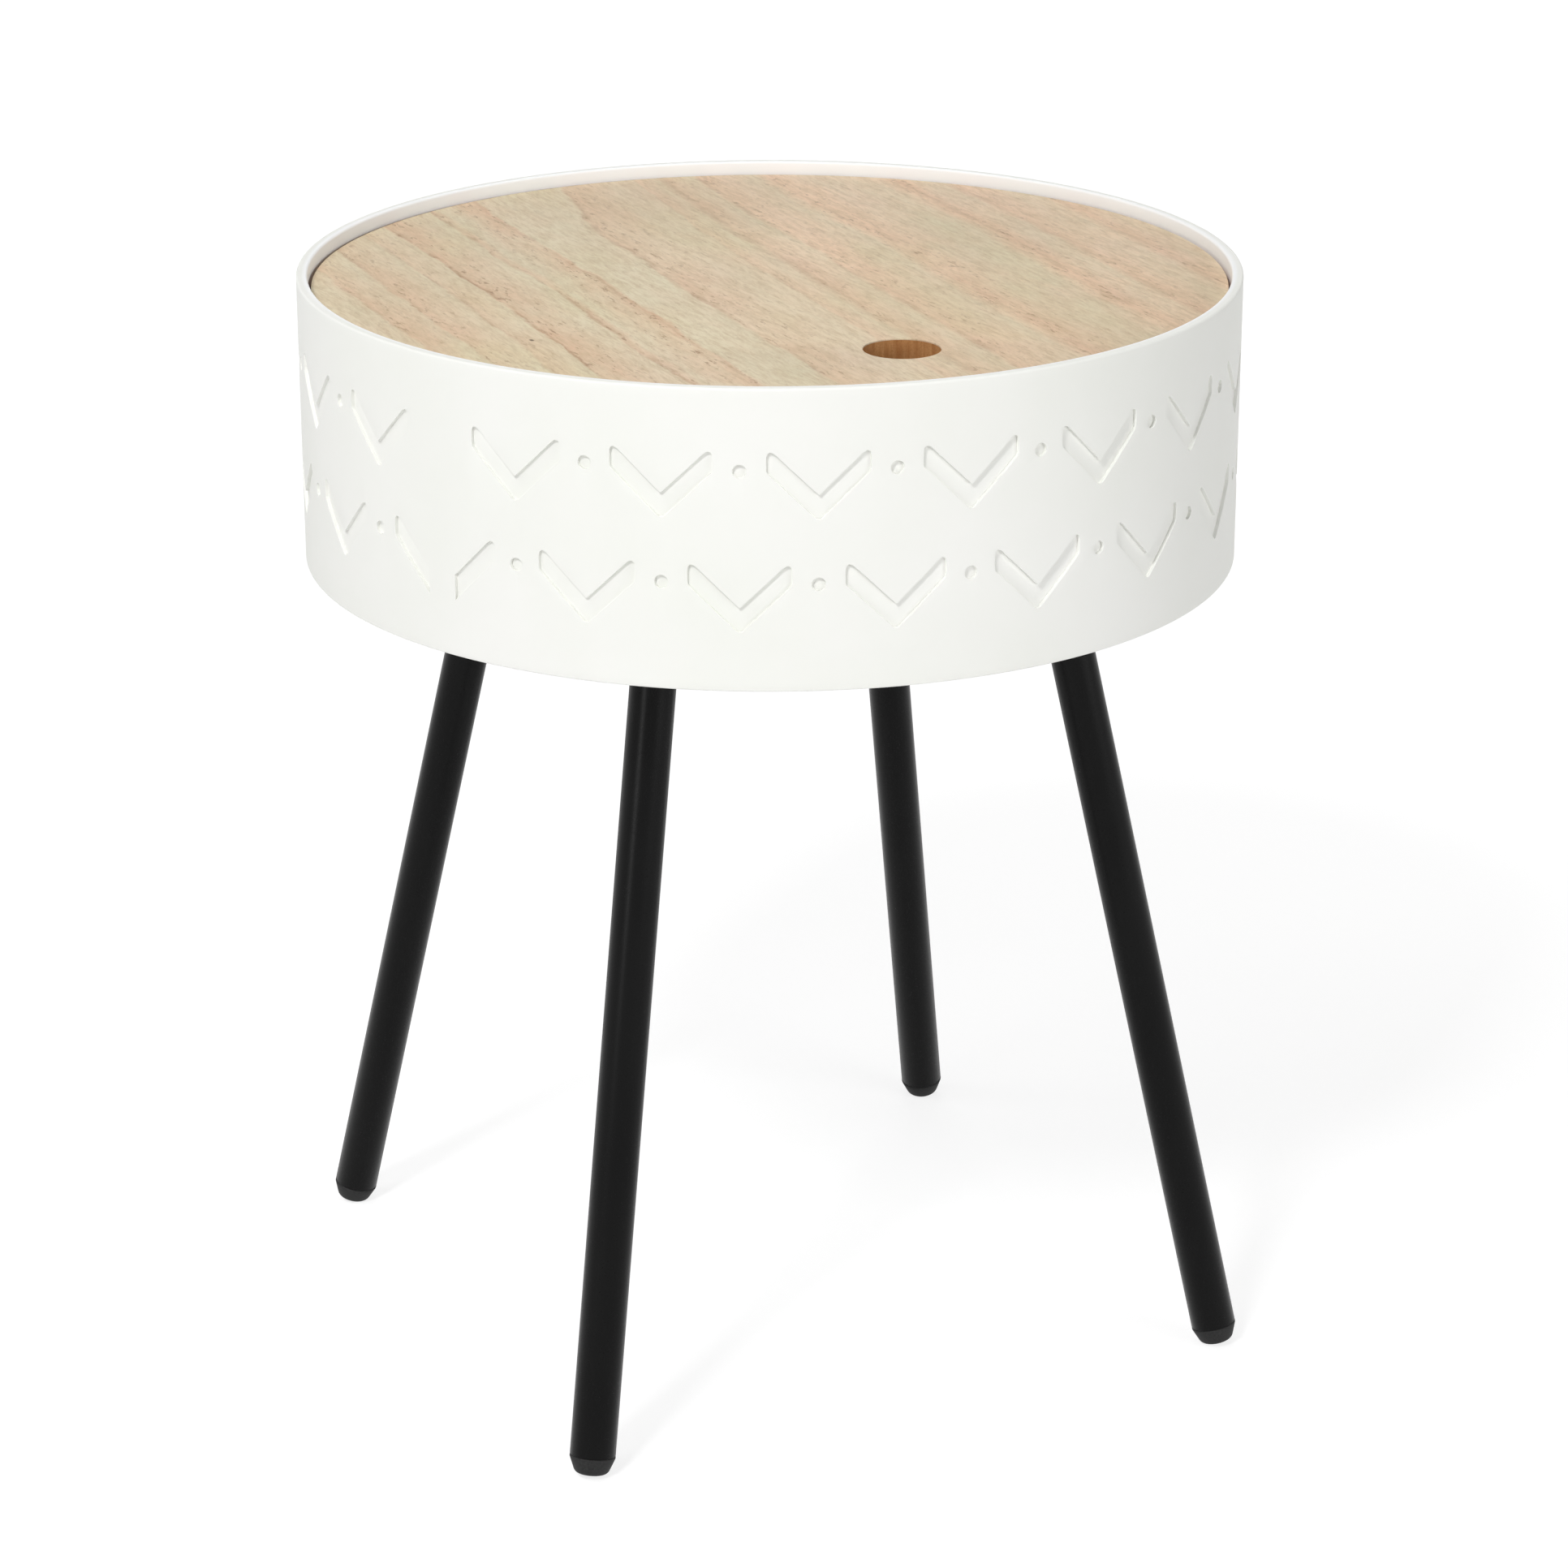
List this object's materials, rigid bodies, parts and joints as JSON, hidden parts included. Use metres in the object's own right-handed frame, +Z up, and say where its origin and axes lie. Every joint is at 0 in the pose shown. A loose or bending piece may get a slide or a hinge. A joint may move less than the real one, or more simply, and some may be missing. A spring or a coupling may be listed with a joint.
{
  "type": "storage side table",
  "caption": "Round side table whose drum is a storage bin under a lift-off wood lid with a finger hole, with a pierced V-and-dot frieze and splayed tube legs.",
  "frame": {"origin": "on the floor under the centre of the drum", "axes": "+Z up; -Y towards the lid's finger hole; the legs stand on the diagonals between X and Y"},
  "size_m": [0.38, 0.38, 0.447],
  "materials": {
    "white_lacquer": "satin white lacquer",
    "pale_veneer": "matt clear lacquer on pale veneer",
    "brown_board": "raw fibreboard edge",
    "painted_brad": "steel under white lacquer",
    "black_tube": "matt black powder coat",
    "black_plate": "matt black powder coat",
    "black_plastic": "matt moulded",
    "zinc_steel": "zinc plated"
  },
  "bodies": {
    "table": {"drum_wall": "white_lacquer", "frieze_sheet": "white_lacquer", "base_panel": "white_lacquer", "base_brads": "painted_brad", "plate_screws": "zinc_steel", "front_lid_rest": "white_lacquer", "right_lid_rest": "white_lacquer", "back_lid_rest": "white_lacquer", "left_lid_rest": "white_lacquer", "front_left_leg": "black_tube", "front_left_foot_cap": "black_plastic", "front_left_leg_plug": "black_plastic", "front_left_leg_plate": "black_plate", "front_left_leg_stud": "zinc_steel", "front_right_leg": "black_tube", "front_right_foot_cap": "black_plastic", "front_right_leg_plug": "black_plastic", "front_right_leg_plate": "black_plate", "front_right_leg_stud": "zinc_steel", "back_right_leg": "black_tube", "back_right_foot_cap": "black_plastic", "back_right_leg_plug": "black_plastic", "back_right_leg_plate": "black_plate", "back_right_leg_stud": "zinc_steel", "back_left_leg": "black_tube", "back_left_foot_cap": "black_plastic", "back_left_leg_plug": "black_plastic", "back_left_leg_plate": "black_plate", "back_left_leg_stud": "zinc_steel"},
    "lid": {"lid_core": "brown_board", "lid_top_veneer": "pale_veneer", "lid_bottom_veneer": "pale_veneer"}
  },
  "joints": [
    {"name": "lid_lift", "type": "slide", "parent": "table", "child": "lid", "axis": [0, 0, 1], "range_m": [0, 0.15]}
  ]
}
